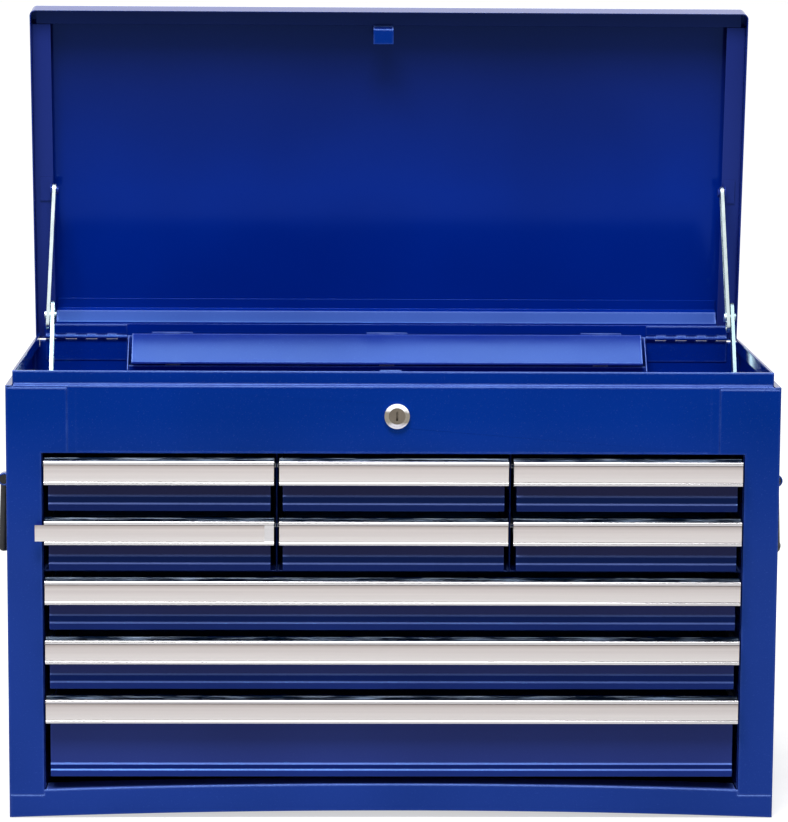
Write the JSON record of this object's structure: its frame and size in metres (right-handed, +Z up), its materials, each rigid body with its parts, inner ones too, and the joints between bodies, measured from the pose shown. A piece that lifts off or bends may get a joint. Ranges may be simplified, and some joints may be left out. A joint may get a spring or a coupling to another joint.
{
  "type": "portable tool box with drawers",
  "caption": "Portable steel tool box: rows of drawers with aluminium pulls, a tray under a hinged lid on folding stays, a key lock, a rod lock and side handles.",
  "frame": {"origin": "centre of the base's flat underside, where the box stands", "axes": "+Z up, -Y towards the front with the drawers, +X to the right seen from the front; the lid stands open at rest"},
  "size_m": [0.6966, 0.3348, 0.6897],
  "materials": {
    "blue_paint": "gloss enamel, light orange peel",
    "drawer_paint": "gloss enamel",
    "pull_aluminium": "drawn and brushed along its length",
    "insert_strip": "smooth",
    "zinc_plate": "bright zinc plate",
    "galvanised_steel": "galvanised",
    "pin_steel": "drawn",
    "lock_chrome": "polished",
    "lock_face": "worn plating",
    "handle_black": "satin black"
  },
  "bodies": {
    "cabinet": {"side_panel_left": "blue_paint", "side_panel_right": "blue_paint", "back_panel": "blue_paint", "bottom_pan": "blue_paint", "front_rail": "blue_paint", "header_panel": "blue_paint", "tray_floor": "blue_paint", "drawer_dividers": "blue_paint", "drawer_runners": "galvanised_steel", "lock_housing": "blue_paint", "hinge_body_leaves": "blue_paint", "hinge_pins": "pin_steel", "stay_body_brackets": "zinc_plate", "lock_bezel": "lock_chrome", "lock_nut": "galvanised_steel", "lock_guard": "blue_paint", "handle_clips": "blue_paint"},
    "lid": {"lid_shell": "blue_paint", "lid_stiffeners": "blue_paint", "lid_catch": "blue_paint", "hinge_lid_leaves": "blue_paint", "stay_lid_brackets": "blue_paint"},
    "lock_slide": {"lock_plate": "blue_paint", "lock_rods": "galvanised_steel", "lock_springs": "pin_steel"},
    "key_barrel": {"lock_barrel": "lock_face", "lock_cam": "galvanised_steel"},
    "stay_upper_left": {"stay_upper_left": "zinc_plate"},
    "stay_lower_left": {"stay_lower_left": "zinc_plate"},
    "handle_left": {"handle_left": "handle_black"},
    "stay_upper_right": {"stay_upper_right": "zinc_plate"},
    "stay_lower_right": {"stay_lower_right": "zinc_plate"},
    "handle_right": {"handle_right": "handle_black"},
    "drawer_body_1_left": {"drawer_1_left": "drawer_paint", "pull_1_left": "pull_aluminium", "strip_1_left": "insert_strip"},
    "drawer_body_1_centre": {"drawer_1_centre": "drawer_paint", "pull_1_centre": "pull_aluminium", "strip_1_centre": "insert_strip"},
    "drawer_body_1_right": {"drawer_1_right": "drawer_paint", "pull_1_right": "pull_aluminium", "strip_1_right": "insert_strip"},
    "drawer_body_2_left": {"drawer_2_left": "drawer_paint", "pull_2_left": "pull_aluminium", "strip_2_left": "insert_strip"},
    "drawer_body_2_centre": {"drawer_2_centre": "drawer_paint", "pull_2_centre": "pull_aluminium", "strip_2_centre": "insert_strip"},
    "drawer_body_2_right": {"drawer_2_right": "drawer_paint", "pull_2_right": "pull_aluminium", "strip_2_right": "insert_strip"},
    "drawer_body_3": {"drawer_3": "drawer_paint", "pull_3": "pull_aluminium", "strip_3": "insert_strip"},
    "drawer_body_4": {"drawer_4": "drawer_paint", "pull_4": "pull_aluminium", "strip_4": "insert_strip"},
    "drawer_body_5": {"drawer_5": "drawer_paint", "pull_5": "pull_aluminium", "strip_5": "insert_strip"}
  },
  "joints": [
    {"name": "lid_hinge", "type": "hinge", "parent": "cabinet", "child": "lid", "pos_m": [0, 0.1496, 0.384], "axis": [1, 0, 0], "range_deg": [0, 82.5]},
    {"name": "lock_rods_drop", "type": "slide", "parent": "cabinet", "child": "lock_slide", "axis": [0, 0, -1], "range_m": [0, 0.006], "deforming": ["lock_springs"]},
    {"name": "key_turn", "type": "hinge", "parent": "cabinet", "child": "key_barrel", "pos_m": [0.0025, -0.13, 0.3506], "axis": [0, -1, 0], "range_deg": [0, 90]},
    {"name": "stay_upper_left_swing", "type": "hinge", "parent": "lid", "child": "stay_upper_left", "pos_m": [-0.307, 0.12745, 0.52159], "axis": [1, 0, 0], "range_deg": [0, 20.97]},
    {"name": "stay_lower_left_swing", "type": "hinge", "parent": "cabinet", "child": "stay_lower_left", "pos_m": [-0.3071, 0.062, 0.348], "axis": [1, 0, 0], "range_deg": [-39.23, 0]},
    {"name": "handle_left_swing", "type": "hinge", "parent": "cabinet", "child": "handle_left", "pos_m": [-0.34, 0, 0.281], "axis": [0, 1, 0], "range_deg": [0, 85]},
    {"name": "stay_upper_right_swing", "type": "hinge", "parent": "lid", "child": "stay_upper_right", "pos_m": [0.3079, 0.12745, 0.52159], "axis": [1, 0, 0], "range_deg": [0, 20.97]},
    {"name": "stay_lower_right_swing", "type": "hinge", "parent": "cabinet", "child": "stay_lower_right", "pos_m": [0.316, 0.062, 0.348], "axis": [1, 0, 0], "range_deg": [-39.23, 0]},
    {"name": "handle_right_swing", "type": "hinge", "parent": "cabinet", "child": "handle_right", "pos_m": [0.34, 0, 0.281], "axis": [0, -1, 0], "range_deg": [0, 85]},
    {"name": "drawer_1_left_slide", "type": "slide", "parent": "cabinet", "child": "drawer_body_1_left", "axis": [0, -1, 0], "range_m": [0, 0.215]},
    {"name": "drawer_1_centre_slide", "type": "slide", "parent": "cabinet", "child": "drawer_body_1_centre", "axis": [0, -1, 0], "range_m": [0, 0.215]},
    {"name": "drawer_1_right_slide", "type": "slide", "parent": "cabinet", "child": "drawer_body_1_right", "axis": [0, -1, 0], "range_m": [0, 0.215]},
    {"name": "drawer_2_left_slide", "type": "slide", "parent": "cabinet", "child": "drawer_body_2_left", "axis": [0, -1, 0], "range_m": [0, 0.215]},
    {"name": "drawer_2_centre_slide", "type": "slide", "parent": "cabinet", "child": "drawer_body_2_centre", "axis": [0, -1, 0], "range_m": [0, 0.215]},
    {"name": "drawer_2_right_slide", "type": "slide", "parent": "cabinet", "child": "drawer_body_2_right", "axis": [0, -1, 0], "range_m": [0, 0.215]},
    {"name": "drawer_3_slide", "type": "slide", "parent": "cabinet", "child": "drawer_body_3", "axis": [0, -1, 0], "range_m": [0, 0.215]},
    {"name": "drawer_4_slide", "type": "slide", "parent": "cabinet", "child": "drawer_body_4", "axis": [0, -1, 0], "range_m": [0, 0.215]},
    {"name": "drawer_5_slide", "type": "slide", "parent": "cabinet", "child": "drawer_body_5", "axis": [0, -1, 0], "range_m": [0, 0.215]}
  ],
  "couplings": [
    {"joint": "stay_upper_left_swing", "follows": "lid_hinge", "ratio": 0.25418},
    {"joint": "stay_lower_left_swing", "follows": "lid_hinge", "ratio": -0.4755},
    {"joint": "stay_upper_right_swing", "follows": "lid_hinge", "ratio": 0.25418},
    {"joint": "stay_lower_right_swing", "follows": "lid_hinge", "ratio": -0.4755},
    {"joint": "lock_rods_drop", "follows": "lid_hinge", "m_per_rad": 0.004166}
  ]
}
